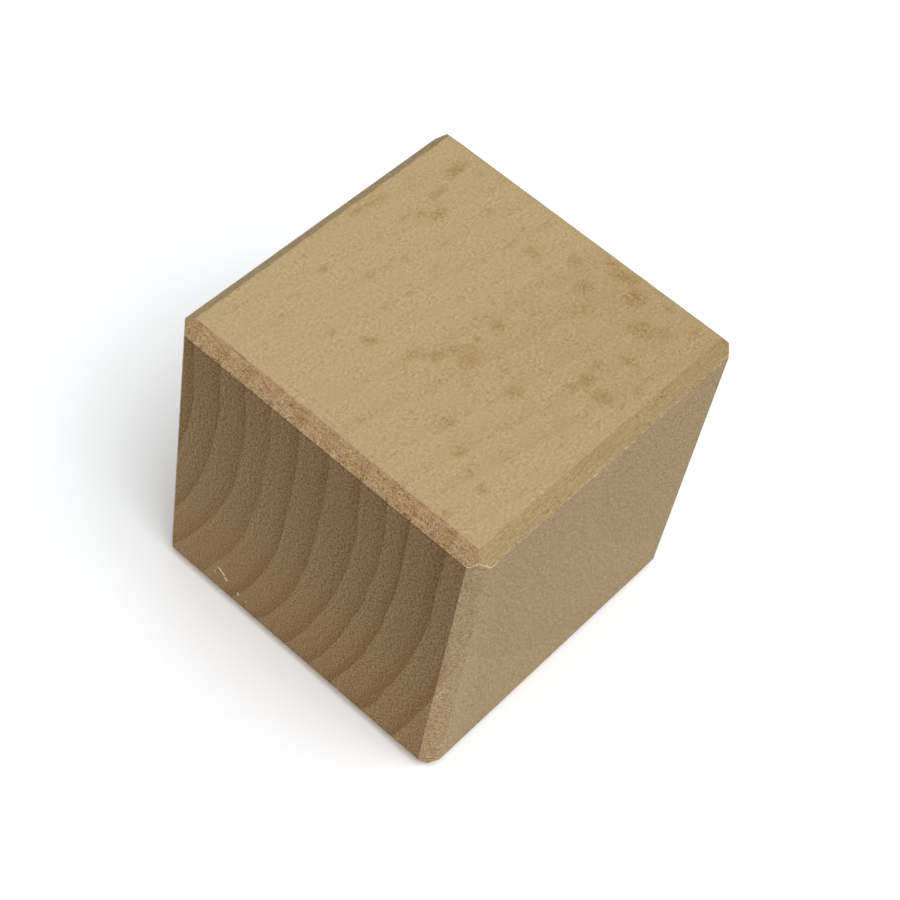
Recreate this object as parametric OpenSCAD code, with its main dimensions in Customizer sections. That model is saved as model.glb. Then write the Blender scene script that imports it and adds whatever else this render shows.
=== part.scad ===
// Solid beech cube with planed faces and a 45 degree chamfer along every edge.
// It is one piece of wood. The grain runs along X, so the two X faces are end grain,
// the growth rings lie flat to the Y faces and the Z faces are cut along the rays.
// The origin is the centre of the bottom face, with Z up.

/* [Block] */
// Side of the cube, measured between opposite faces
side = 50; // [20:1:100]

/* [Edges] */
// Width that each chamfer takes off both of the faces it joins
chamfer = 2; // [0.8:0.1:5]
// Radius that sanding leaves on the arris between a face and a chamfer
arris_r = 0.3; // [0.1:0.05:0.6]
// Depth that sanding takes off each corner point, where three chamfers meet
corner_blunt = 0.2; // [0.05:0.05:0.4]

/* [Hidden] */

beech = [0.71, 0.63, 0.46];
$fn = 96;
// Straight steps that make up the rounding of one arris
arris_steps = 6;
// Each arris turns through half a right angle, from a face into its chamfer
arris_turn = 45;

half = side / 2;
// How far the rounding runs out on either side of the sharp arris
tangent = arris_r * tan(arris_turn / 2);
// Half of the flat that is left on a face between its two roundings
face_flat = half - chamfer - tangent;
// Distance from the cube's centre to the sharp point where three chamfers meet
corner_reach = sqrt(3) * (half - chamfer / 2);
// Length of the crossing bars, so that each one ends well outside the other two
bar_length = 2 * side;

// Points along an arris rounding that starts at the given angle
function rounding(centre, start) = [
    for (i = [0:arris_steps])
        let (a = start + arris_turn * i / arris_steps)
        centre + arris_r * [cos(a), sin(a)]
];

// A point turned about the centre of the outline
function turned(p, a) = [p.x * cos(a) - p.y * sin(a), p.x * sin(a) + p.y * cos(a)];

// One quarter of the outline: from a face round into the chamfer, and out to the next face
quarter = concat(
    rounding([half - arris_r, face_flat], 0),
    rounding([face_flat, half - arris_r], arris_turn)
);

// The block seen along one axis: a square with its corners chamfered and the arrises eased
module eased_outline() {
    polygon([for (a = [0:90:270]) for (p = quarter) turned(p, a)]);
}

// A bar of that outline, which carries the four chamfers that run along one axis
module chamfered_bar() {
    linear_extrude(height = bar_length, center = true) eased_outline();
}

// Three bars cross at the centre, so that their chamfers mitre together at the corners,
// and a sphere takes the point off every corner
module wooden_cube() {
    color(beech)
        translate([0, 0, half])
            intersection() {
                chamfered_bar();
                rotate([90, 0, 0]) chamfered_bar();
                rotate([0, 90, 0]) chamfered_bar();
                sphere(r = corner_reach - corner_blunt);
            }
}

wooden_cube();
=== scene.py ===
import logging
import math
from dataclasses import dataclass, field
from enum import Enum
from typing import Any, Iterable, Optional, Union

import bpy
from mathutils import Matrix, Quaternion, Vector


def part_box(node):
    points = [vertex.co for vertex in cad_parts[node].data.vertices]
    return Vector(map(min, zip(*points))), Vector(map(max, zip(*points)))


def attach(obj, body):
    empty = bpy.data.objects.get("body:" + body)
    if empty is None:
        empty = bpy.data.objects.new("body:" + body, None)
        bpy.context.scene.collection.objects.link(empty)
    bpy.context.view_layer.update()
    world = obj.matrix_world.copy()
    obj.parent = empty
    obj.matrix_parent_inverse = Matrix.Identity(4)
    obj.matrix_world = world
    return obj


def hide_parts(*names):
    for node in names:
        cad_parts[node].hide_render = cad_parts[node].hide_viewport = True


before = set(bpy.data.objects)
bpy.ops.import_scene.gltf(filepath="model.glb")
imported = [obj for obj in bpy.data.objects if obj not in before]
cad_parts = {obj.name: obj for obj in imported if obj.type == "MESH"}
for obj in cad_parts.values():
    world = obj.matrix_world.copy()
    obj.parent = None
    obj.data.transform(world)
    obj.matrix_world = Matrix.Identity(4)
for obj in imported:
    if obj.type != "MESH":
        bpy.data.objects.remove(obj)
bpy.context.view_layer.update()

MM = 0.001
# How far the level chamfers of the end grain run inwards, in millimetres.
END_RUN = 1.8

Number = Union[int, float]
Range = tuple[float, float]
Size = tuple[float, float, float]
Colour = tuple[float, float, float]
WHITE: Colour = (1.0, 1.0, 1.0)

log = logging.getLogger("beech_cube")


class Axis(Enum):
    """The cube's three directions. The grain of the wood runs along X."""

    X = 0
    Y = 1
    Z = 2

    @property
    def others(self) -> tuple["Axis", "Axis"]:
        """The two directions across this one."""
        left = [a for a in Axis if a is not self]
        return left[0], left[1]


class Side(Enum):
    """Upright surfaces that carry torn fibres, and how far each is turned about Z from -Y."""

    END_FACE = -90
    UPRIGHT_CHAMFER = -45
    SIDE_FACE = 0

    @property
    def turn(self) -> float:
        """The turn in radians."""
        return math.radians(self.value)


def linear(red: int, green: int, blue: int) -> Colour:
    """Turns a colour as a screen shows it into the linear one that a shader takes.

    Args:
        red: Red from 0 to 255.
        green: Green from 0 to 255.
        blue: Blue from 0 to 255.

    Returns:
        The linear colour, each part from 0 to 1.
    """
    parts = [c / 255 for c in (red, green, blue)]
    return tuple(c / 12.92 if c <= 0.04045 else ((c + 0.055) / 1.055) ** 2.4 for c in parts)


class Value:
    """A number that varies over a surface, for use in plain Python sums."""

    def __init__(self, graph: "Graph", socket: bpy.types.NodeSocket) -> None:
        """Wraps one output socket of a graph."""
        self.graph = graph
        self.socket = socket

    def __add__(self, other: "Operand") -> "Value":
        """The sum with another value or number."""
        return self.graph.math("ADD", self, other)

    __radd__ = __add__

    def __sub__(self, other: "Operand") -> "Value":
        """This value less another."""
        return self.graph.math("SUBTRACT", self, other)

    def __rsub__(self, other: "Operand") -> "Value":
        """Another value less this one."""
        return self.graph.math("SUBTRACT", other, self)

    def __mul__(self, other: "Operand") -> "Value":
        """The product with another value or number."""
        return self.graph.math("MULTIPLY", self, other)

    __rmul__ = __mul__

    def __truediv__(self, other: "Operand") -> "Value":
        """This value divided by another."""
        return self.graph.math("DIVIDE", self, other)

    def __rtruediv__(self, other: "Operand") -> "Value":
        """Another value divided by this one."""
        return self.graph.math("DIVIDE", other, self)

    def __pow__(self, power: "Operand") -> "Value":
        """This value raised to a power."""
        return self.graph.math("POWER", self, power)

    def __abs__(self) -> "Value":
        """This value without its sign."""
        return self.graph.math("ABSOLUTE", self)

    def fraction(self) -> "Value":
        """The part after the decimal point."""
        return self.graph.math("FRACT", self)

    def larger(self, other: "Operand") -> "Value":
        """The larger of this value and another."""
        return self.graph.math("MAXIMUM", self, other)

    def ramp(self, low: Number, high: Number) -> "Value":
        """Rises smoothly from 0 at low to 1 at high, or falls where high is below low.

        Args:
            low: The value at which the result is 0.
            high: The value at which the result is 1.

        Returns:
            A value from 0 to 1.
        """
        settings = {"interpolation_type": "SMOOTHSTEP"}
        ends = {"From Min": low, "From Max": high}
        if low > high:
            ends = {"From Min": high, "From Max": low, "To Min": 1.0, "To Max": 0.0}
        return self.graph.value("ShaderNodeMapRange", settings, {"Value": self, **ends}, "Result")

    def near(self, place: Number, reach: Number) -> "Value":
        """Is 1 where this value is the given one, and falls to 0 at the reach on both sides."""
        return abs(self - place).ramp(reach, 0.0)


Operand = Union[Value, Number]
Place = tuple[Value, Value, Value]


class Graph:
    """The nodes of one material or of the world."""

    def __init__(self, owner: Union[bpy.types.Material, bpy.types.World], output: str) -> None:
        """Starts with nothing but the output node.

        Args:
            owner: The material or world.
            output: The type of its output node.
        """
        owner.use_nodes = True
        self.owner = owner
        self.tree = owner.node_tree
        self.tree.nodes.clear()
        self.output = self.node(output)

    @classmethod
    def material(cls, name: str) -> "Graph":
        """Starts a new material of the given name."""
        return cls(bpy.data.materials.new(name), "ShaderNodeOutputMaterial")

    def node(self, kind: str, settings: Optional[dict[str, Any]] = None,
             inputs: Optional[dict[Union[str, int], Any]] = None) -> bpy.types.Node:
        """Adds a node, sets it up and then feeds its sockets.

        Args:
            kind: The node's type.
            settings: Properties of the node, or stops for its colour ramp, set first.
            inputs: Values, or links from other nodes, by socket name or place.

        Returns:
            The new node.
        """
        made = self.tree.nodes.new(kind)
        for key, setting in (settings or {}).items():
            if key == "stops":
                self._set_stops(made.color_ramp, setting)
            else:
                setattr(made, key, setting)
        for key, given in (inputs or {}).items():
            self._feed(made.inputs[key], given)
        return made

    @staticmethod
    def _set_stops(ramp: bpy.types.ColorRamp, stops: list[tuple[float, float]]) -> None:
        """Gives a ramp its stops, each a place and a grey level."""
        while len(ramp.elements) < len(stops):
            ramp.elements.new(1.0)
        for element, (place, grey) in zip(ramp.elements, stops):
            element.position = place
            element.color = (grey, grey, grey, 1.0)

    def _feed(self, socket: bpy.types.NodeSocket, given: Any) -> None:
        """Links a socket, or sets its value."""
        if isinstance(given, Value):
            given = given.socket
        if isinstance(given, bpy.types.NodeSocket):
            self.tree.links.new(given, socket)
        elif isinstance(given, tuple) and socket.type == "RGBA":
            socket.default_value = (*given, 1.0)
        else:
            socket.default_value = given

    def value(self, kind: str, settings: Optional[dict[str, Any]],
              inputs: dict[Union[str, int], Any], output: Union[str, int] = 0) -> Value:
        """Adds a node and wraps one of its outputs."""
        return Value(self, self.node(kind, settings, inputs).outputs[output])

    def math(self, operation: str, *operands: Operand) -> Value:
        """Adds a Math node."""
        return self.value("ShaderNodeMath", {"operation": operation}, dict(enumerate(operands)))

    def position(self) -> Place:
        """The place on the piece, in millimetres."""
        place = self.node("ShaderNodeTexCoord").outputs["Object"]
        scaled = self.node("ShaderNodeVectorMath", {"operation": "SCALE"}, {0: place, "Scale": 1 / MM})
        return self.split(scaled.outputs[0])

    def facing(self) -> Place:
        """The direction that the surface faces, as the mesh has it."""
        return self.split(self.node("ShaderNodeTexCoord").outputs["Normal"])

    def split(self, vector: bpy.types.NodeSocket) -> Place:
        """The three parts of a vector."""
        parts = self.node("ShaderNodeSeparateXYZ", None, {0: vector}).outputs
        return Value(self, parts[0]), Value(self, parts[1]), Value(self, parts[2])

    def vector(self, x: Operand, y: Operand, z: Operand) -> bpy.types.NodeSocket:
        """A vector from its three parts."""
        return self.node("ShaderNodeCombineXYZ", None, {0: x, 1: y, 2: z}).outputs[0]

    def noise(self, x: Operand, y: Operand, z: Operand, detail: float = 0.0,
              roughness: float = 0.5) -> Value:
        """Soft random variation about 0, mostly between -0.3 and 0.3, one blotch for each unit."""
        inputs = {"Vector": self.vector(x, y, z), "Scale": 1.0, "Detail": detail,
                  "Roughness": roughness}
        return self.value("ShaderNodeTexNoise", None, inputs, "Fac") - 0.5

    def cells(self, x: Operand, y: Operand, z: Operand) -> Place:
        """Scattered points, about one for each unit.

        Returns:
            The distance to the nearest point, and two random numbers that belong to it.
        """
        made = self.node("ShaderNodeTexVoronoi", None, {"Vector": self.vector(x, y, z), "Scale": 1.0})
        red, green, _ = self.split(made.outputs["Color"])
        return Value(self, made.outputs["Distance"]), red, green

    def lookup(self, place: Value, low: float, high: float, stops: list[tuple[float, float]]) -> Value:
        """Reads a value off a table of places and levels, straight between them.

        Args:
            place: Where to read.
            low: The table's first place.
            high: The table's last place.
            stops: Places and levels, with levels from 0 to 1.

        Returns:
            The level at the place.
        """
        scaled = [((at - low) / (high - low), level) for at, level in stops]
        return self.value("ShaderNodeValToRGB", {"stops": scaled}, {0: (place - low) / (high - low)})

    def mix(self, share: Operand, first: Any, second: Any, blend: str = "MIX") -> bpy.types.NodeSocket:
        """Mixes two colours.

        Args:
            share: How much of the second colour shows, from 0 to 1.
            first: A colour or a link to one.
            second: A colour or a link to one.
            blend: How the second colour acts on the first.

        Returns:
            The mixed colour's socket.
        """
        settings = {"data_type": "RGBA", "blend_type": blend, "clamp_factor": True}
        made = self.node("ShaderNodeMix", settings, {0: share, 6: first, 7: second})
        return made.outputs[2]

    def brown(self, colour: Any, change: Value, redness: float = 0.25) -> bpy.types.NodeSocket:
        """Darkens or lightens wood the way it does itself: blue changes most and red least.

        Args:
            colour: The colour to change.
            change: The share by which green changes, below 0 where it gets darker.
            redness: How much less red changes, and how much more blue does.

        Returns:
            The changed colour's socket.
        """
        parts = {"Red": change * (1 - redness) + 1.0, "Green": change + 1.0,
                 "Blue": change * (1 + 1.7 * redness) + 1.0}
        tint = self.node("ShaderNodeCombineColor", None, parts).outputs[0]
        return self.mix(1.0, colour, tint, "MULTIPLY")

    def bump(self, height: Value, depth: float) -> bpy.types.NodeSocket:
        """Turns a height into a surface direction.

        Args:
            height: The height.
            depth: What a height of 1 stands for, in metres.

        Returns:
            The direction's socket.
        """
        return self.node("ShaderNodeBump", None, {"Height": height, "Distance": depth}).outputs[0]

    def close(self, shader: bpy.types.Node) -> Union[bpy.types.Material, bpy.types.World]:
        """Links the last shader to the output and gives back the material or world."""
        self.tree.links.new(shader.outputs[0], self.output.inputs["Surface"])
        return self.owner


@dataclass(frozen=True)
class Share:
    """How strongly something shows everywhere, and how much more on each kind of surface."""

    everywhere: float = 0.0
    end: float = 0.0
    side: float = 0.0
    flat: float = 0.0
    chamfer: float = 0.0
    end_chamfer: float = 0.0
    upright_chamfer: float = 0.0


class Spot:
    """A place on the cube: where it lies in the block, and what kind of surface it is on."""

    FACE: Range = (0.3, 0.7)
    CHAMFER: Range = (0.06, 0.16)
    ARRIS: Range = (0.77, 0.2)

    def __init__(self, g: Graph, half: float) -> None:
        """Works out the place in millimetres, and the surface from the way it faces.

        Args:
            g: The material's graph.
            half: Half of the cube's side in millimetres.
        """
        self.half = half
        self.x, self.y, self.z = g.position()
        self.across = half - self.y
        self.below = 2 * half - self.z
        nx, self.ny, self.nz = (n * n for n in g.facing())
        self.end = nx.ramp(*self.FACE)
        self.side = self.ny.ramp(*self.FACE)
        self.end_chamfer = (nx * self.nz).ramp(*self.CHAMFER)
        self.long_chamfer = (self.ny * self.nz).ramp(*self.CHAMFER)
        self.upright_chamfer = (nx * self.ny).ramp(*self.CHAMFER)
        self.chamfer = self.end_chamfer.larger(self.long_chamfer).larger(self.upright_chamfer)
        self.arris = nx.near(*self.ARRIS).larger(self.ny.near(*self.ARRIS)).larger(self.nz.near(*self.ARRIS))
        self.flat = self.end.ramp(1.0, 0.0)

    @property
    def inward(self) -> Value:
        """The distance along the grain from the end face at -X."""
        return self.x + self.half

    def scaled(self, size: Size) -> Place:
        """The place, counted in marks of the given size along the grain, across it and down."""
        return self.x / size[0], self.across / size[1], self.below / size[2]

    def share(self, share: Share) -> Value:
        """Adds up how strongly something shows at this place."""
        total: Operand = share.everywhere
        for kind, strength in vars(share).items():
            if strength and kind != "everywhere":
                total = getattr(self, kind) * strength + total
        return total


@dataclass(frozen=True)
class Year:
    """One year of growth: its width in millimetres, and how dark and how stained its wood is."""

    width: float
    late_wood: float
    stain: float


@dataclass(frozen=True)
class Fleck:
    """A small brown fleck or line on one face. Lengths are in millimetres, the turn in degrees."""

    along: float
    across: float
    length: float
    width: float
    depth: float = 1.0
    turn: float = 0.0


@dataclass(frozen=True)
class Wood:
    """How this block lay in its tree. Lengths are in millimetres."""

    half: float = 25.0
    heart_away: float = 54.0
    crest: float = 9.7
    roundness: float = 0.95
    grain_slope: float = 0.2
    dent: float = 1.45
    dent_ring: float = 23.0
    dent_width: float = 10.6
    dent_depth: Range = (15.0, 37.0)
    wander: float = 0.9
    wander_size: Size = (20.0, 5.0, 7.0)
    ray_turns: float = 80.0
    ray_size: Size = (1.2, 0.25, 0.9)
    ray_ragged_size: Size = (0.5, 0.4, 0.3)
    ray_grit: float = 1.2
    ray_stain: float = 0.3
    ring_rise: float = 0.42
    late_ages: Range = (0.55, 0.91)
    late_rise: float = 0.46
    last_ages: Range = (0.93, 0.97)
    last_rise: float = 0.18
    early_age: float = 0.13
    early_dip: float = 0.17
    first_year: float = -12.0
    years: tuple[Year, ...] = (
        Year(5.5, 0.6, 0.2), Year(5.5, 0.7, 0.3), Year(5.0, 0.8, 0.2), Year(4.5, 0.75, 0.2),
        Year(4.5, 0.75, 0.3), Year(4.0, 0.55, 0.3), Year(4.5, 0.8, 0.7), Year(5.0, 0.8, 1.0),
        Year(5.5, 0.75, 0.8), Year(4.0, 0.8, 0.9), Year(3.5, 1.0, 0.9), Year(5.5, 0.95, 0.3),
        Year(5.0, 0.85, 0.4), Year(5.5, 0.7, 0.4), Year(5.5, 0.7, 0.4),
    )
    flecks: tuple[Fleck, ...] = (
        Fleck(29.3, 3.0, 2.2, 1.0, 0.9), Fleck(31.5, 3.2, 1.7, 0.9, 0.7), Fleck(33.3, 3.6, 1.8, 1.0, 0.7),
        Fleck(19.0, 7.0, 1.6, 1.0, 0.8), Fleck(9.8, 8.8, 1.6, 1.0, 0.5), Fleck(33.0, 7.8, 2.4, 0.9, 0.6),
        Fleck(39.5, 7.8, 3.0, 1.1, 0.9), Fleck(44.2, 6.9, 3.2, 1.5, 1.2), Fleck(34.8, 8.8, 1.8, 1.1, 0.8),
        Fleck(36.7, 10.5, 2.6, 1.5, 0.9), Fleck(22.7, 11.5, 1.8, 1.0, 0.6), Fleck(12.3, 14.6, 2.0, 0.9, 0.6),
        Fleck(20.5, 16.4, 1.5, 0.8, 0.7), Fleck(29.8, 16.2, 1.8, 0.9, 0.5),
        Fleck(15.0, 18.7, 2.0, 1.6, 1.0, 60), Fleck(17.2, 23.7, 2.3, 1.1, 0.8),
        Fleck(19.5, 25.8, 2.5, 1.4, 1.2), Fleck(21.6, 26.4, 1.7, 1.0, 1.0),
        Fleck(25.0, 27.2, 1.0, 0.8, 1.1), Fleck(28.6, 27.6, 1.8, 1.6, 1.1), Fleck(22.0, 28.6, 3.4, 2.8, 0.7),
        Fleck(41.0, 22.6, 1.7, 1.5, 0.9), Fleck(44.0, 27.2, 2.3, 1.9, 0.8), Fleck(41.5, 31.0, 2.8, 2.4, 0.8),
        Fleck(46.8, 33.4, 4.0, 1.6, 1.1, 65), Fleck(45.0, 36.6, 2.9, 2.4, 1.3),
        Fleck(12.8, 33.6, 2.1, 1.7, 0.8, 40), Fleck(22.2, 35.8, 2.3, 1.9, 0.8, 30),
        Fleck(30.2, 40.7, 2.2, 1.6, 1.1), Fleck(29.6, 43.8, 3.0, 1.8, 1.0, 70),
        Fleck(36.4, 42.4, 2.8, 1.4, 0.7, 80), Fleck(41.5, 40.4, 3.0, 2.4, 1.1, 50),
        Fleck(43.0, 42.5, 2.4, 2.0, 0.8), Fleck(13.3, 7.6, 2.4, 0.6, 0.6, 20),
        Fleck(24.9, 11.6, 0.9, 0.5, 0.7), Fleck(26.4, 11.7, 0.8, 0.5, 0.8),
        Fleck(21.5, 9.2, 0.9, 0.7, 0.5), Fleck(28.0, 12.6, 1.2, 0.8, 0.6), Fleck(24.2, 16.8, 1.4, 0.8, 0.5),
        Fleck(27.6, 24.6, 1.2, 0.6, 0.4), Fleck(14.6, 24.6, 1.5, 0.8, 0.5), Fleck(5.2, 26.2, 1.0, 1.0, 0.6),
        Fleck(23.2, 27.4, 1.8, 0.8, 0.8, 40), Fleck(18.2, 24.8, 1.6, 0.7, 0.8, 35),
        Fleck(46.2, 9.2, 1.0, 0.9, 0.8),
        Fleck(42.0, 14.6, 1.8, 1.0, 0.5), Fleck(43.0, 19.4, 1.4, 0.9, 0.6), Fleck(40.0, 19.9, 1.8, 0.8, 0.5),
        Fleck(37.8, 3.6, 1.2, 0.5, 0.6), Fleck(33.6, 14.5, 1.4, 0.7, 0.4),
        Fleck(33.0, 40.0, 2.0, 1.0, 0.8), Fleck(28.0, 40.3, 1.4, 1.3, 0.9), Fleck(47.2, 31.0, 1.2, 2.0, 1.0),
        Fleck(38.8, 33.5, 2.6, 2.4, 0.4), Fleck(2.6, 42.0, 1.4, 1.6, 0.7), Fleck(8.3, 42.6, 1.6, 1.2, 0.7),
        Fleck(10.4, 37.4, 1.6, 1.3, 0.9), Fleck(24.0, 33.0, 1.3, 0.9, 0.8), Fleck(9.0, 40.2, 1.2, 0.9, 0.6),
        Fleck(33.5, 46.2, 1.8, 1.2, 0.7), Fleck(30.4, 46.2, 1.6, 0.9, 0.7), Fleck(46.8, 40.6, 1.4, 1.6, 0.7),
        Fleck(46.4, 45.4, 1.6, 1.2, 0.6), Fleck(18.6, 31.0, 2.0, 1.4, 0.4), Fleck(33.2, 29.4, 1.6, 1.2, 0.5),
    )
    side_flecks: tuple[Fleck, ...] = (
        Fleck(30.0, 8.7, 4.2, 0.35, 1.1), Fleck(42.0, 16.0, 2.4, 0.4, 0.8), Fleck(27.5, 4.0, 1.4, 0.4, 0.8),
        Fleck(28.2, 12.5, 1.6, 0.4, 0.8), Fleck(36.0, 22.0, 1.8, 0.35, 0.5),
        Fleck(18.0, 17.5, 1.8, 0.35, 0.5), Fleck(12.5, 8.0, 1.2, 0.35, 0.5),
        Fleck(22.5, 30.0, 2.0, 0.35, 0.5), Fleck(40.0, 33.0, 1.6, 0.35, 0.5),
        Fleck(39.5, 5.4, 2.6, 0.35, 1.1), Fleck(43.0, 6.4, 2.2, 0.35, 1.1), Fleck(45.2, 4.6, 1.8, 0.35, 0.9),
        Fleck(41.6, 8.2, 1.8, 0.35, 0.9), Fleck(36.8, 7.0, 1.6, 0.35, 0.8), Fleck(45.4, 9.4, 1.4, 0.35, 0.8),
    )


@dataclass(frozen=True)
class BeechFinish:
    """Bare planed beech: rings, rays, pores and the marks of the cutter."""

    wood: Wood = Wood()
    radial_tone: Colour = linear(186, 163, 119)
    tangential_tone: Colour = linear(171, 147, 111)
    end_tone: Colour = linear(152, 122, 84)
    end_chamfer_tone: Colour = linear(182, 150, 110)
    yellow_tone: Colour = linear(181, 156, 108)
    long_chamfer_tone: Colour = linear(170, 146, 104)
    upright_chamfer_tone: Colour = linear(178, 152, 113)
    # Pale torn fibre on the arrises, partly a painted edge highlight.
    torn_fibre_and_highlight_tone: Colour = linear(226, 201, 161)
    roughness: float = 0.72
    specular: float = 0.25
    ring_contrast: float = 0.44
    ring_middle: float = 0.3
    ring_share: Share = Share(everywhere=0.12, end=0.88, end_chamfer=-0.25, upright_chamfer=-0.35)
    fleck_contrast: float = 0.22
    stain_contrast: float = 0.06
    bump_depth: float = 0.00002
    patch_size: Size = (5.0, 2.5, 3.0)
    patch_strength: float = 0.06
    speckle_size: Size = (0.5, 0.4, 0.4)
    speckle_end: float = 3.7
    speckle_calm: float = 1.6
    speckle_side: float = 1.4
    speckle_flat: float = 1.05
    speckle_end_chamfer: float = 0.9
    calm_depth: Range = (15.0, 45.0)
    calm_across: Range = (45.0, 10.0)
    grit_size: Size = (3.5, 2.5, 2.5)
    grit_strength: float = 2.4
    grit_least: float = 0.3
    dot_size: Size = (0.4, 0.27, 0.27)
    dot_strength: float = 0.14
    pore_size: Size = (0.9, 0.24, 0.28)
    pore_share: Share = Share(flat=0.08, side=0.1)
    sand_size: Size = (0.18, 0.16, 0.16)
    sand_share: Share = Share(end=1.5, flat=0.2, side=0.6, chamfer=0.4)
    streak_width: float = 0.28
    streak_length: float = 2.0
    streak_short: float = 0.9
    streak_finer: float = 2.5
    streak_share: Share = Share(chamfer=0.65, end_chamfer=0.15)
    cut_share: Share = Share(end_chamfer=0.22, upright_chamfer=0.12)
    fleck_spread: float = 1.65
    fleck_edge: float = 1.3
    fleck_ragged: float = 1.7
    dash_ragged: float = 0.4
    dash_strength: float = 1.3
    ray_strength: float = 0.5
    torn_size: Size = (0.35, 0.35, 0.3)
    torn_fibre_and_highlight_share: Share = Share(everywhere=0.42, end=0.5)
    burr_and_highlight_strength: float = 0.45
    chip_length: float = 0.7
    chip_depth: float = 1.2
    yellow_size: Size = (0.9, 2.8, 0.9)
    yellow_strength: float = 0.55
    inward_darkening: float = 0.02
    # Painted bounce light on the end face: where it starts downwards and across, and how strong it is.
    painted_bounce_depth: Range = (20.0, 50.0)
    painted_bounce_across: Range = (30.0, 0.0)
    painted_bounce_strength: float = 0.05
    upright_pale_top: float = 0.145
    upright_pale_fall: float = 0.0047
    rim_reach: Range = (-17.0, -23.0)
    rim_strength: float = 0.08
    side_lift: float = 0.02
    grain_redness: float = 0.2
    fleck_redness: float = 0.32
    # A painted shadow line on the end face just inside its level chamfers, at the top and at the bottom.
    shadow_line_insets: Range = (2.25, 2.2)
    line_width: float = 0.25
    shadow_line_darkness: float = 0.35

    def build(self) -> bpy.types.Material:
        """Makes the material.

        Returns:
            The finished beech.
        """
        g = Graph.material("beech")
        w = self.wood
        spot = Spot(g, w.half)
        colour = self._tones(g, spot)
        ring, stain = self._rings(g, spot)
        show = spot.share(self.ring_share)
        colour = g.brown(colour, (self.ring_middle - ring) * self.ring_contrast * show)

        along = spot.inward / (2 * w.half)
        patches = g.noise(*spot.scaled(self.patch_size), 1.0) * self.patch_strength
        speckle = g.noise(*spot.scaled(self.speckle_size), 2.0, 1.0)
        dots = g.cells(*spot.scaled(self.dot_size))[0].ramp(0.4, 0.1)
        grit = g.noise(*spot.scaled(self.grit_size), 1.0)
        pores = g.noise(*spot.scaled(self.pore_size), 1.0).ramp(0.08, 0.25)
        sand = g.noise(*spot.scaled(self.sand_size))
        streaks = self._streaks(g, spot)
        cuts = streaks.ramp(-0.08, -0.2) * spot.share(self.cut_share)
        calm = spot.below.ramp(*self.calm_depth) * spot.across.ramp(*self.calm_across)
        uneven = (grit * self.grit_strength + 1.0).larger(self.grit_least)
        rough = spot.end * (self.speckle_end - calm * self.speckle_calm)
        rough = rough + uneven * (spot.side * self.speckle_side + self.speckle_flat) * spot.flat
        rough = rough - spot.chamfer - spot.end_chamfer * self.speckle_end_chamfer
        grain = speckle * rough + sand * spot.share(self.sand_share)
        drift = stain * (along + 0.5) * -self.stain_contrast - along * self.inward_darkening
        drift = drift * spot.flat
        # Painted bounce light: the end face is painted lighter towards its bottom and its +Y edge, standing
        # in for light thrown back from the floor.
        painted_bounce_light = spot.end * spot.below.ramp(*self.painted_bounce_depth) * spot.across.ramp(*self.painted_bounce_across)
        painted_bounce_light = painted_bounce_light * self.painted_bounce_strength
        # The upright chamfers get lighter towards the top, and the side face lighter near the end grain.
        lighter_top_and_rim = spot.upright_chamfer * (spot.below * -self.upright_pale_fall + self.upright_pale_top)
        lighter_top_and_rim = lighter_top_and_rim + spot.side * spot.x.ramp(*self.rim_reach) * self.rim_strength
        cutter = streaks * spot.share(self.streak_share) - cuts
        change = patches + drift + painted_bounce_light + lighter_top_and_rim + grain + cutter
        change = change - pores * spot.share(self.pore_share)
        change = change - dots * spot.end * self.dot_strength + spot.side * self.side_lift
        colour = g.brown(colour, change, self.grain_redness)

        top = spot.nz.ramp(0.6, 0.9) * spot.z.ramp(w.half, w.half + 1)
        flecks = self._flecks(g, spot, spot.across, w.flecks, self.fleck_ragged) * top
        front = spot.side * spot.y.ramp(0.0, -1.0)
        dashes = self._flecks(g, spot, spot.below, w.side_flecks, self.dash_ragged) * front
        scattered = self._rays(g, spot, grit, stain) * spot.flat
        marks = flecks.larger(dashes * self.dash_strength).larger(scattered * self.ray_strength)
        colour = g.brown(colour, marks * -self.fleck_contrast, self.fleck_redness)
        shader = g.node("ShaderNodeBsdfPrincipled", None, {
            "Base Color": self._edges(g, spot, colour),
            "Roughness": self.roughness + speckle * 0.2 - flecks * 0.08,
            "Specular IOR Level": self.specular,
            "Normal": g.bump(speckle + streaks * spot.chamfer, self.bump_depth),
        })
        return g.close(shader)

    def _tones(self, g: Graph, spot: Spot) -> bpy.types.NodeSocket:
        """The plain tone of each surface, with chips and yellower patches at the end chamfers."""
        colour = g.mix(spot.side, self.radial_tone, self.tangential_tone)
        colour = g.mix(spot.end, colour, self.end_tone)
        colour = g.mix(spot.long_chamfer, colour, self.long_chamfer_tone)
        colour = g.mix(spot.upright_chamfer, colour, self.upright_chamfer_tone)
        chipped = g.noise(spot.across / self.chip_length, 1.0, 2.0, 2.0, 0.8) * self.chip_depth
        chipped = chipped - (spot.inward - END_RUN)
        along, across, down = spot.scaled(self.yellow_size)
        yellow = g.noise(across, along, down, 1.0).ramp(0.0, 0.12) * self.yellow_strength
        end_tone = g.mix(yellow, self.end_chamfer_tone, self.yellow_tone)
        chips = chipped.ramp(0.0, 0.08) * spot.nz.ramp(0.7, 0.9)
        return g.mix(spot.end_chamfer.larger(chips), colour, end_tone)

    def _edges(self, g: Graph, spot: Spot, colour: bpy.types.NodeSocket) -> bpy.types.NodeSocket:
        """Pale torn wood with a painted edge highlight on the arrises, and a painted shadow line on the end
        face beside its chamfers.
        """
        torn = g.noise(*spot.scaled(self.torn_size), 1.0, 0.9).ramp(0.0, 0.1)
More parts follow.
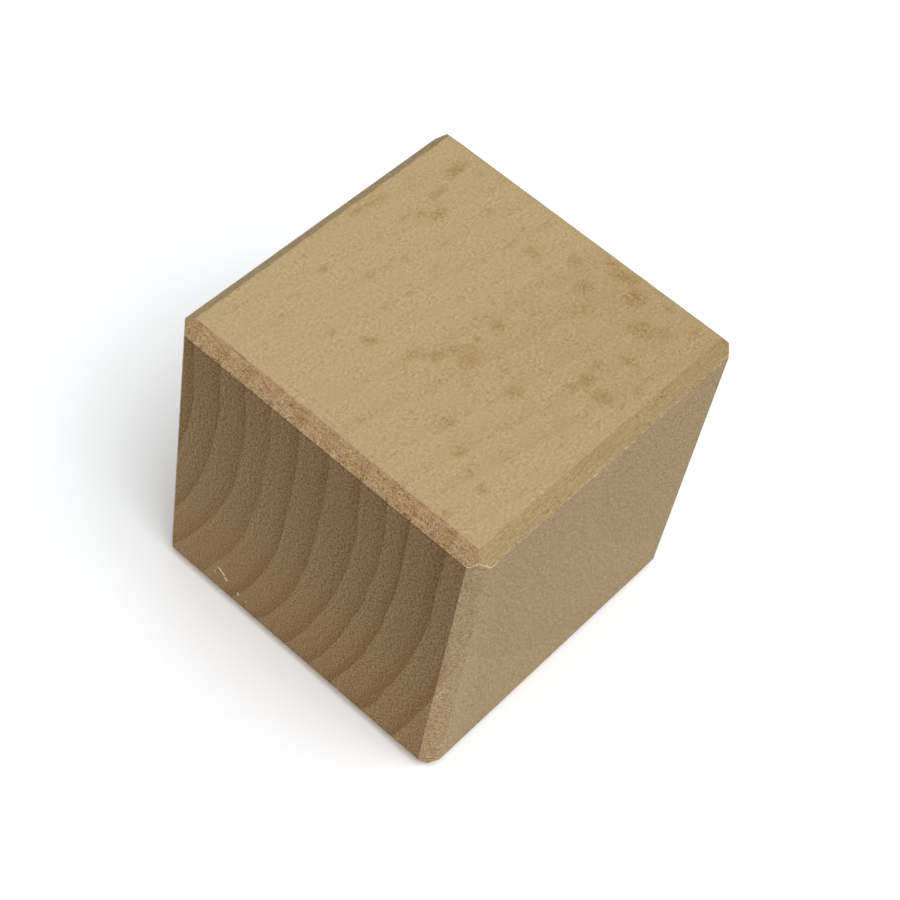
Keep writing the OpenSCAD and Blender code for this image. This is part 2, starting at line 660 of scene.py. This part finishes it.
        # Pale torn fibres on the arrises and along the burr, partly a painted edge highlight.
        burr_and_highlight = spot.ny.ramp(0.53, 0.6) * spot.long_chamfer * self.burr_and_highlight_strength
        pale = (spot.arris * spot.share(self.torn_fibre_and_highlight_share) + burr_and_highlight) * torn
        colour = g.mix(pale, colour, self.torn_fibre_and_highlight_tone)
        # Painted shadow: the end face is darkened in a thin band beside its upper and lower chamfers.
        upper, lower = self.shadow_line_insets
        line = spot.below.near(upper, self.line_width)
        line = line.larger(spot.below.near(2 * spot.half - lower, self.line_width))
        return g.brown(colour, spot.end * line * (torn * 0.6 + 0.4) * -self.shadow_line_darkness)

    def _streaks(self, g: Graph, spot: Spot) -> Value:
        """Marks of the cutter, which run along each chamfer, and across the upright ones.

        Args:
            g: The material's graph.
            spot: The place on the cube.

        Returns:
            The streaks, lighter above 0 and darker below.
        """
        fine = 1 / self.streak_width
        long = 1 / self.streak_length - fine
        short = (1 / self.streak_short - fine) * spot.upright_chamfer
        return g.noise(spot.x * (spot.long_chamfer * long + short + fine),
                       spot.across * (spot.end_chamfer * long + short + fine),
                       spot.below * (spot.upright_chamfer * self.streak_finer + fine), 2.0, 0.8)

    def _rings(self, g: Graph, spot: Spot) -> tuple[Value, Value]:
        """Growth rings, which get dark towards the end of each year and start again light.

        Args:
            g: The material's graph.
            spot: The place on the cube.

        Returns:
            The darkness of the wood, from 0 in the first wood of a year to 1 in its last,
            and how stained the year's wood is.
        """
        w = self.wood
        from_crest = spot.below - w.crest
        reach = spot.across + w.heart_away
        radius = (reach * reach + from_crest * from_crest * w.roundness) ** 0.5 - w.heart_away
        dent = (1 - ((radius - w.dent_ring) / w.dent_width) ** 2).larger(0.0)
        dent = dent * dent * spot.below.ramp(*w.dent_depth) * w.dent
        wander = g.noise(*spot.scaled(w.wander_size)) * w.wander
        place = radius - dent - spot.inward * w.grain_slope + wander
        ends = [w.first_year]
        for year in w.years:
            ends.append(ends[-1] + year.width)
        low, high, steps = ends[0], ends[-1], len(w.years)
        count = g.lookup(place, low, high, [(at, i / steps) for i, at in enumerate(ends)])
        darks = g.lookup(place, low, high, [(at, y.late_wood) for at, y in zip(ends[1:], w.years)])
        stain = g.lookup(place, low, high, [(at, y.stain) for at, y in zip(ends[1:], w.years)])
        age = (count * steps).fraction()
        dark = age * w.ring_rise + age.ramp(*w.late_ages) * w.late_rise
        dark = dark + age.ramp(*w.last_ages) * w.last_rise
        early = age.near(w.early_age, w.early_age) * w.early_dip
        return dark * darks - early, stain

    def _rays(self, g: Graph, spot: Spot, grit: Value, stain: Value) -> Value:
        """Rays, thin ribbons that run out from the heart of the tree.

        Args:
            g: The material's graph.
            spot: The place on the cube.
            grit: Where the wood is rougher, and more of them show.
            stain: How stained the wood is, where more of them show too.

        Returns:
            The darkness of the flecks where a face cuts rays open.
        """
        w = self.wood
        reach = spot.across + w.heart_away
        turn = g.math("ARCTAN2", spot.below - w.crest, reach) * w.ray_turns
        ragged = g.noise(*spot.scaled(w.ray_ragged_size), 1.0)
        long, thick, high = w.ray_size
        distance, chance, depth = g.cells(spot.x / long, turn / thick, reach / high)
        often = chance + grit * w.ray_grit + stain * (spot.x / (2 * w.half) + 0.5) * w.ray_stain
        return (distance + ragged).ramp(0.5, 0.15) * often.ramp(0.7, 1.0) * (depth * 0.7 + 0.3)

    def _flecks(self, g: Graph, spot: Spot, level: Value, flecks: tuple[Fleck, ...],
                ragged: float) -> Value:
        """The flecks that show best on one face, each where it lies on the real one.

        Args:
            g: The material's graph.
            spot: The place on the cube.
            level: Place across the grain on that face.
            flecks: The flecks.
            ragged: How far noise moves their outline.

        Returns:
            The darkness of the flecks.
        """
        x = spot.x
        aside = g.noise(x / 0.8, level / 0.8, 3.0, 1.0) * ragged
        ahead = g.noise(x / 0.8, level / 0.8, 9.0, 1.0) * ragged
        grains = g.noise(x / 0.5, level / 0.35, 5.0, 1.0).ramp(-0.15, 0.08)
        place = g.vector(spot.inward + aside, level + ahead, 0.0)
        darkest = level * 0.0
        for fleck in flecks:
            turned = place
            if fleck.turn:
                turned = g.node("ShaderNodeVectorRotate", {"rotation_type": "Z_AXIS"}, {
                    "Vector": place,
                    "Center": (fleck.along, fleck.across, 0.0),
                    "Angle": math.radians(-fleck.turn),
                }).outputs[0]
            longer, wider = self.fleck_spread / fleck.length, self.fleck_spread / fleck.width
            moved = g.node("ShaderNodeVectorMath", {"operation": "MULTIPLY_ADD"}, {
                0: turned,
                1: (longer, wider, 1.0),
                2: (-fleck.along * longer, -fleck.across * wider, 0.0),
            }).outputs[0]
            away = g.value("ShaderNodeVectorMath", {"operation": "LENGTH"}, {0: moved}, "Value")
            most = self.fleck_edge * fleck.depth
            darkest = darkest.larger(g.math("MULTIPLY_ADD", away, -fleck.depth, most))
        return darkest.ramp(0.0, 0.6) * (darkest.larger(0.0) * 0.7 + 0.3) * (grains * 0.75 + 0.25) * 1.3


@dataclass(frozen=True)
class FibreFinish:
    """Dry torn wood fibre, pale and matt."""

    tone: Colour = linear(240, 221, 188)
    shade: Colour = linear(212, 186, 148)
    roughness: float = 0.85
    specular: float = 0.2
    bump_depth: float = 0.00001
    streak_size: Size = (0.3, 0.3, 0.6)

    def build(self) -> bpy.types.Material:
        """Makes the material.

        Returns:
            The finished fibre.
        """
        g = Graph.material("torn fibre")
        x, y, z = (place / size for place, size in zip(g.position(), self.streak_size))
        streak = g.noise(x, y, z, 1.0).ramp(-0.2, 0.2)
        shader = g.node("ShaderNodeBsdfPrincipled", None, {
            "Base Color": g.mix(streak, self.shade, self.tone),
            "Roughness": self.roughness,
            "Specular IOR Level": self.specular,
            "Normal": g.bump(streak, self.bump_depth),
        })
        return g.close(shader)


@dataclass
class BeechCube:
    """The cube: sawn, planed, chamfered along every edge and lightly sanded."""

    side: float
    chamfer: float = 2.0 * MM
    grid: float = 0.5 * MM
    chamfer_strips: int = 3
    arris_ease: float = 0.2 * MM
    arris_steps: int = 3
    sharp_angle: float = 20.0
    smooth_angle: float = 25.0
    end_run: float = END_RUN * MM
    wander: tuple[float, float, float] = (0.4 * MM, 0.3 * MM, 0.3 * MM)
    wander_length: float = 2.2 * MM
    upright_share: float = 0.2
    finish: BeechFinish = BeechFinish()
    tolerance: float = 0.001 * MM
    near_factor: float = 5.0
    piece: Optional[bpy.types.Object] = field(default=None, repr=False)

    @property
    def half(self) -> float:
        """Half the side."""
        return self.side / 2

    @property
    def centre(self) -> Vector:
        """The middle of the cube."""
        return Vector((0, 0, self.half))

    def build(self) -> bpy.types.Object:
        """Makes the cube's mesh and gives it its finish.

        Returns:
            The finished piece.
        """
        deselect_all()
        bpy.ops.mesh.primitive_cube_add(size=self.side, location=self.centre)
        self.piece = bpy.context.object
        self.piece.name = self.piece.data.name = "beech_cube"
        bpy.ops.object.transform_apply(location=True, rotation=False, scale=False)
        self._plane_chamfers()
        self._cut_grid()
        self._wander_arrises()
        self._ease_arrises()
        bpy.ops.object.shade_smooth_by_angle(angle=math.radians(self.smooth_angle))
        self.piece.data.materials.clear()
        self.piece.data.materials.append(self.finish.build())
        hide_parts("wooden_cube")
        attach(self.piece, "root")
        return self.piece

    def _plane_chamfers(self) -> None:
        """Takes a slice off each of the twelve edges, so that they mitre.

        All are at 45 degrees but the level ones of the end grain, which run less far inwards.
        """
        bpy.ops.object.mode_set(mode="EDIT")
        for axis in Axis:
            first, second = axis.others
            for sign_a in (-1, 1):
                for sign_b in (-1, 1):
                    run = self.end_run if axis is Axis.Y else self.chamfer
                    middle = Vector((0, 0, 0))
                    middle[first.value] = sign_a * (self.half - run / 2)
                    middle[second.value] = sign_b * (self.half - self.chamfer / 2)
                    outward = Vector((0, 0, 0))
                    outward[first.value] = sign_a * self.chamfer
                    outward[second.value] = sign_b * run
                    self._bisect(self.centre + middle, outward.normalized(), slice_off=True)
        bpy.ops.object.mode_set(mode="OBJECT")

    def _cut_grid(self) -> None:
        """Cuts the faces into small squares and the chamfers into strips."""
        flat = self.half - self.chamfer
        count = round(2 * flat / self.grid)
        places = [-flat + 2 * flat * i / count for i in range(1, count)]
        strips = [flat + self.chamfer * i / self.chamfer_strips for i in range(1, self.chamfer_strips)]
        places += strips + [-s for s in strips]
        bpy.ops.object.mode_set(mode="EDIT")
        for axis in Axis:
            for place in places:
                outward = Vector((0, 0, 0))
                outward[axis.value] = 1
                self._bisect(self.centre + outward * place, outward, slice_off=False)
        bpy.ops.object.mode_set(mode="OBJECT")

    def _bisect(self, place: Vector, outward: Vector, slice_off: bool) -> None:
        """Cuts the whole mesh with one plane.

        Args:
            place: A point on the plane.
            outward: The plane's direction.
            slice_off: Whether what lies outside goes, and the cut is closed.
        """
        bpy.ops.mesh.select_all(action="SELECT")
        bpy.ops.mesh.bisect(plane_co=place, plane_no=outward, use_fill=slice_off,
                            clear_outer=slice_off, threshold=self.tolerance)

    def _wander_arrises(self) -> None:
        """Lets each arris run a little unevenly within its face, as the cutter left it."""
        mesh = self.piece.data
        close = self.tolerance * self.near_factor
        for axis in Axis:
            group = self.piece.vertex_groups.new(name=f"arrises that move along {axis.name}")
            for vertex in mesh.vertices:
                place = vertex.co - self.centre
                level = abs(abs(place.z) - self.half) < close
                inset = self.end_run if level and axis is Axis.X else self.chamfer
                on_arris = abs(abs(place[axis.value]) - self.half + inset) < close
                if on_arris and any(abs(abs(place[a.value]) - self.half) < close for a in axis.others):
                    group.add([vertex.index], 1.0 if level else self.upright_share, "REPLACE")
            texture = bpy.data.textures.new(f"uneven {axis.name}", "CLOUDS")
            texture.noise_scale = self.wander_length
            texture.noise_depth = 2
            modifier = self.piece.modifiers.new(f"uneven {axis.name}", "DISPLACE")
            modifier.texture = texture
            modifier.texture_coords = "LOCAL"
            modifier.direction = axis.name
            modifier.vertex_group = group.name
            modifier.mid_level = 0.5
            modifier.strength = self.wander[axis.value]
            bpy.ops.object.modifier_apply(modifier=modifier.name)
        self.piece.vertex_groups.clear()

    def _ease_arrises(self) -> None:
        """Rounds every arris and mitre slightly, as sanding does."""
        mesh = self.piece.data
        sharp = math.cos(math.radians(self.sharp_angle))
        normals: dict[tuple[int, int], list[Vector]] = {}
        for polygon in mesh.polygons:
            for key in polygon.edge_keys:
                normals.setdefault(key, []).append(polygon.normal)
        select_only_edges(mesh, [
            edge.index for edge in mesh.edges
            if len(normals[edge.key]) == 2 and normals[edge.key][0].dot(normals[edge.key][1]) < sharp
        ])
        bpy.ops.object.mode_set(mode="EDIT")
        bpy.ops.mesh.bevel(offset_type="OFFSET", offset=self.arris_ease, segments=self.arris_steps,
                           profile=0.5, affect="EDGES", clamp_overlap=True)
        bpy.ops.object.mode_set(mode="OBJECT")


@dataclass(frozen=True)
class Curl:
    """A fibre torn out of the wood, flat on an upright surface. Lengths are in millimetres.

    The path goes from the root in steps to the right and up, as seen from outside.
    """

    side: Side
    root: tuple[float, float, float]
    path: tuple[tuple[float, float], ...]
    thickness: float = 0.18
    tip: float = 0.5


@dataclass
class TornFibres:
    """Fibres that the cutter tore out of the lower end grain, one chamfer and the side's arris."""

    curls: tuple[Curl, ...] = (
        Curl(Side.END_FACE, (-25.0, 14.5, 6.5), ((0.5, -0.2), (0.6, -0.3), (0.35, -0.25)), 0.2, 1.3),
        Curl(Side.END_FACE, (-25.0, 13.0, 5.5), ((0.2, -0.25), (0.25, -0.1), (0.15, 0.1)), 0.36, 0.8),
        Curl(Side.END_FACE, (-25.0, 14.0, 6.5), ((0.35, -0.4), (0.35, -0.3)), 0.14, 0.8),
        Curl(Side.END_FACE, (-25.0, 15.0, 5.0), ((0.35, -0.1),), 0.14, 0.6),
        Curl(Side.END_FACE, (-25.0, 10.5, 4.5), ((0.1, -0.25), (0.05, -0.25)), 0.26, 0.9),
        Curl(Side.END_FACE, (-25.0, 9.0, 4.0), ((0.15, -0.1),), 0.2, 0.8),
        Curl(Side.UPRIGHT_CHAMFER, (-24.25, -23.75, 19.75), ((-0.4, -0.35), (-0.15, -0.5), (-0.05, -0.6),
                                                           (0.1, -0.5), (0.35, -0.35)), 0.15, 0.9),
        Curl(Side.UPRIGHT_CHAMFER, (-24.75, -23.25, 20.0), ((0.1, 0.05),), 0.26, 0.8),
        Curl(Side.UPRIGHT_CHAMFER, (-24.0, -24.0, 20.0), ((0.35, 0.0),), 0.12, 0.6),
        Curl(Side.UPRIGHT_CHAMFER, (-24.75, -23.25, 14.75), ((0.1, -0.05),), 0.2, 0.8),
        Curl(Side.UPRIGHT_CHAMFER, (-23.5, -24.5, 5.5), ((0.25, 0.05),), 0.26, 0.8),
        Curl(Side.UPRIGHT_CHAMFER, (-23.25, -24.75, 6.0), ((0.2, 0.1),), 0.24, 0.7),
        Curl(Side.UPRIGHT_CHAMFER, (-24.25, -23.75, 2.75), ((0.35, 0.0), (0.3, -0.05)), 0.14, 0.7),
        Curl(Side.UPRIGHT_CHAMFER, (-25.0, -23.0, 48.0), ((0.45, 0.1), (0.3, 0.15)), 0.15, 0.9),
        Curl(Side.UPRIGHT_CHAMFER, (-24.5, -23.5, 48.25), ((0.2, 0.35), (0.45, 0.35)), 0.2, 0.8),
        Curl(Side.UPRIGHT_CHAMFER, (-24.0, -24.0, 48.75), ((0.35, -0.2), (0.3, -0.3)), 0.14, 1.2),
        Curl(Side.UPRIGHT_CHAMFER, (-23.5, -24.5, 48.5), ((0.3, -0.25), (0.3, -0.05)), 0.18, 1.1),
        Curl(Side.SIDE_FACE, (-23.0, -25.0, 48.0), ((0.35, 0.05), (0.4, 0.0), (0.4, -0.05)), 0.14, 0.5),
        Curl(Side.SIDE_FACE, (-4.0, -25.0, 48.0), ((0.3, 0.05), (0.4, -0.05)), 0.14, 0.6),
        Curl(Side.SIDE_FACE, (2.0, -25.0, 48.0), ((0.3, 0.1), (0.3, 0.0)), 0.16, 0.6),
        Curl(Side.SIDE_FACE, (3.5, -25.0, 48.0), ((0.3, -0.05), (0.2, 0.0)), 0.14, 0.6),
    )
    corners: int = 6
    smooth_angle: float = 60.0
    finish: FibreFinish = FibreFinish()

    def build(self) -> bpy.types.Object:
        """Makes all the fibres as one piece.

        Returns:
            The finished piece.
        """
        made = [self._curl(curl) for curl in self.curls]
        deselect_all()
        for item in made:
            item.select_set(True)
        bpy.context.view_layer.objects.active = made[0]
        bpy.ops.object.join()
        piece = bpy.context.object
        piece.name = piece.data.name = "torn_fibres"
        bpy.ops.object.shade_smooth_by_angle(angle=math.radians(self.smooth_angle))
        piece.data.materials.clear()
        piece.data.materials.append(self.finish.build())
        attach(piece, "root")
        return piece

    def _curl(self, curl: Curl) -> bpy.types.Object:
        """Draws one fibre out of a small polygon, thinner towards its tip.

        Args:
            curl: The fibre's place, path and thickness.

        Returns:
            The fibre, with its place in its mesh.
        """
        radius = curl.thickness / 2 * MM
        heading = math.atan2(curl.path[0][1], curl.path[0][0])
        deselect_all()
        facing = (math.pi / 2, 0, math.pi / 2 + heading)
        bpy.ops.mesh.primitive_circle_add(vertices=self.corners, radius=radius, fill_type="NGON",
                                          location=(0, 0, 0), rotation=facing)
        item = bpy.context.object
        bpy.ops.object.transform_apply(location=False, rotation=True, scale=False)
        bpy.ops.object.mode_set(mode="EDIT")
        bpy.ops.mesh.select_all(action="SELECT")
        shrink = curl.tip ** (1 / len(curl.path))
        here = Vector((0, 0, 0))
        for right, up in curl.path:
            step = Vector((right, up, 0)) * MM
            bpy.ops.mesh.extrude_region_move(TRANSFORM_OT_translate={"value": step})
            here = here + step
            bpy.ops.transform.resize(value=(shrink, shrink, shrink), center_override=here)
        bpy.ops.mesh.select_all(action="SELECT")
        bpy.ops.mesh.normals_make_consistent(inside=False)
        bpy.ops.object.mode_set(mode="OBJECT")
        item.rotation_euler = (math.pi / 2, 0, curl.side.turn)
        item.location = Vector(curl.root) * MM
        bpy.ops.object.transform_apply(location=True, rotation=True, scale=True)
        return item


def deselect_all() -> None:
    """Leaves no object selected."""
    for item in bpy.context.selected_objects:
        item.select_set(False)


def select_only_edges(mesh: bpy.types.Mesh, wanted: Iterable[int]) -> None:
    """Selects the given edges and nothing else, ready for edit mode.

    Args:
        mesh: The mesh, which isn't in edit mode.
        wanted: Places of the edges in the mesh's own list.
    """
    mesh.polygons.foreach_set("select", [False] * len(mesh.polygons))
    mesh.vertices.foreach_set("select", [False] * len(mesh.vertices))
    mesh.edges.foreach_set("select", [False] * len(mesh.edges))
    bpy.context.tool_settings.mesh_select_mode = (False, True, False)
    for index in wanted:
        mesh.edges[index].select = True


@dataclass
class Studio:
    """The pale floor, the soft light and the camera.

    Lengths are in metres, angles in degrees, and lens and sensor in millimetres.
    """

    aim: Vector = field(default_factory=lambda: Vector((0.962, -1.441, 25.051)) * MM)
    distance: float = 291.135 * MM
    azimuth: float = -58.491
    elevation: float = 52.837
    roll: float = 12.692
    lens: float = 88.184
    sensor_width: float = 36.0
    clip_start: float = 0.01
    floor_side: float = 3.0
    floor_tone: float = 0.8
    floor_white: tuple[float, float, float] = (1.1, 1.125, 1.15)
    floor_edge: float = -85.0 * MM
    sky_share: float = 0.46
    lamp_azimuth: float = -12.0
    lamp_elevation: float = 65.0
    lamp_spread: float = 50.0

    def build(self) -> None:
        """Sets up floor, light and camera."""
        self._floor()
        self._world()
        self._lamp()
        self._camera()
        bpy.context.scene.view_settings.view_transform = "Standard"

    @staticmethod
    def _outward(azimuth: float, elevation: float) -> Vector:
        """The direction from the cube to a place round it."""
        a, e = math.radians(azimuth), math.radians(elevation)
        return Vector((math.sin(a) * math.cos(e), -math.cos(a) * math.cos(e), math.sin(e)))

    def _floor(self) -> None:
        """A white floor that keeps the cube's shadow.

        Past its edge on the left it throws no light back on the cube, as if a sheet of paper
        ended there on a dark table, out of the picture.
        """
        deselect_all()
        bpy.ops.mesh.primitive_plane_add(size=self.floor_side, location=(0, 0, 0))
        floor = bpy.context.object
        floor.name = "floor"
        g = Graph.material("white paper")
        paths = g.node("ShaderNodeLightPath").outputs
        seen = Value(g, paths["Is Camera Ray"]).larger(Value(g, paths["Is Glossy Ray"]))
        seen = seen.larger(Value(g, paths["Is Transmission Ray"]))
        edge = self.floor_edge / MM
        light = g.position()[0].ramp(edge - 1, edge + 1) * self.floor_tone
        levels = [light + seen * (white - light) for white in self.floor_white]
        tone = g.node("ShaderNodeCombineColor", None, dict(enumerate(levels))).outputs[0]
        floor.data.materials.append(g.close(g.node("ShaderNodeBsdfDiffuse", None, {"Color": tone})))

    def _world(self) -> None:
        """Even light from all round, seen as white by the camera."""
        g = Graph(bpy.data.worlds.new("studio"), "ShaderNodeOutputWorld")
        camera_ray = g.node("ShaderNodeLightPath").outputs["Is Camera Ray"]
        light, seen = (
            g.node("ShaderNodeBackground", None, {"Color": WHITE, "Strength": level}).outputs[0]
            for level in (self.sky_share, 1.0)
        )
        choice = g.node("ShaderNodeMixShader", None, {0: camera_ray, 1: light, 2: seen})
        bpy.context.scene.world = g.close(choice)

    def _lamp(self) -> None:
        """One very wide soft lamp, high up in front."""
        outward = self._outward(self.lamp_azimuth, self.lamp_elevation)
        data = bpy.data.lights.new("softbox", "SUN")
        data.angle = math.radians(self.lamp_spread)
        data.energy = (1 - self.sky_share) * math.pi / outward.z
        lamp = bpy.data.objects.new("softbox", data)
        bpy.context.scene.collection.objects.link(lamp)
        lamp.location = self.aim + outward * self.distance
        lamp.rotation_mode = "QUATERNION"
        lamp.rotation_quaternion = (-outward).to_track_quat("-Z", "Y")

    def _camera(self) -> None:
        """The camera at the photograph's place."""
        outward = self._outward(self.azimuth, self.elevation)
        data = bpy.data.cameras.new("camera")
        data.lens = self.lens
        data.sensor_width = self.sensor_width
        data.clip_start = self.clip_start
        camera = bpy.data.objects.new("camera", data)
        bpy.context.scene.collection.objects.link(camera)
        camera.location = self.aim + outward * self.distance
        camera.rotation_mode = "QUATERNION"
        level = (-outward).to_track_quat("-Z", "Y")
        camera.rotation_quaternion = level @ Quaternion((0, 0, 1), math.radians(self.roll))
        bpy.context.scene.camera = camera


def main() -> None:
    """Builds the cube, its torn fibres and the studio, and reports each piece."""
    logging.basicConfig(level=logging.INFO, format="%(name)s: %(message)s")
    low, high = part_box("wooden_cube")
    for maker in (BeechCube(side=high.x - low.x), TornFibres()):
        piece = maker.build()
        log.info("%s: %d faces", piece.name, len(piece.data.polygons))
    Studio().build()
    log.info("floor, lamp and camera are set")


if __name__ == "__main__":
    main()
